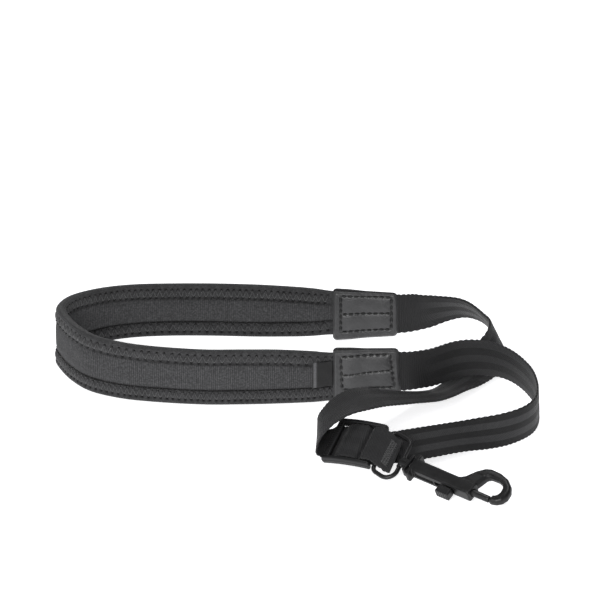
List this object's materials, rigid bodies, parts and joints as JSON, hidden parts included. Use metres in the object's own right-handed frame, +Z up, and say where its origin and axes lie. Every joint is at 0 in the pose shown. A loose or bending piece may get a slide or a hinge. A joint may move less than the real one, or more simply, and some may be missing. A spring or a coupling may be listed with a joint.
{
  "type": "saxophone neck strap",
  "caption": "Neck strap for a saxophone: padded neck loop with stitched tabs, webbing, sliding adjuster and a swivelling snap hook with a sprung plunger.",
  "frame": {"origin": "centre of the bounding box, on the surface that the strap lies on", "axes": "+X along the pad's arms towards the webbing, +Y from the front arm to the back arm, +Z up along the pad's height"},
  "size_m": [0.2888, 0.2468, 0.0366],
  "materials": {
    "foam": "matte closed-cell foam",
    "knit": "matte ribbed knit",
    "binding": "matte stretch fabric over foam",
    "thread": "sewing thread",
    "label": "satin ribbon, plain",
    "leather": "soft satin grain",
    "webbing": "banded weave, slight sheen",
    "moulding": "moulded, semi-gloss",
    "spring_steel": "bright wire"
  },
  "bodies": {
    "root": {"pad_core": "foam", "pad_strip_outer": "knit", "pad_strip_inner": "knit", "pad_binding_top": "binding", "pad_binding_bottom": "binding", "seam_thread_top_outer": "thread", "seam_thread_top_inner": "thread", "seam_thread_bottom_outer": "thread", "seam_thread_bottom_inner": "thread", "pad_label": "label", "tab_front_outer": "leather", "tab_front_inner": "leather", "tab_back_outer": "leather", "tab_back_inner": "leather", "tab_front_thread_outer": "thread", "tab_front_thread_inner": "thread", "tab_back_thread_outer": "thread", "tab_back_thread_inner": "thread", "webbing_front": "webbing", "webbing_back": "webbing"},
    "adjuster": {"adjuster_frame": "moulding", "bartack_thread": "thread"},
    "eye": {"swivel_eye": "moulding"},
    "hook": {"hook_body": "moulding", "plunger_spring": "spring_steel"},
    "plunger": {"plunger_pin": "moulding", "thumb_button": "moulding"}
  },
  "joints": [
    {"name": "adjuster_slide", "type": "slide", "parent": "root", "child": "adjuster", "axis": [0.8771, -0.4739, 0.078], "range_m": [-0.008, 0.012], "deforming": ["webbing_front", "webbing_back"]},
    {"name": "eye_hinge", "type": "hinge", "parent": "adjuster", "child": "eye", "pos_m": [0.05056, -0.06542, 0.0132], "axis": [-0.384, -0.7894, -0.4789], "range_deg": [0, 45], "deforming": ["webbing_front"]},
    {"name": "hook_swivel", "type": "hinge", "parent": "eye", "child": "hook", "pos_m": [0.07136, -0.08437, 0.00978], "axis": [0.7841, -0.6153, -0.0816], "continuous": true},
    {"name": "plunger_slide", "type": "slide", "parent": "hook", "child": "plunger", "axis": [0.7841, -0.6153, -0.0816], "range_m": [-0.009, 0], "stiffness_N_per_m": 350, "springref_m": 0.004, "deforming": ["plunger_spring"]}
  ]
}
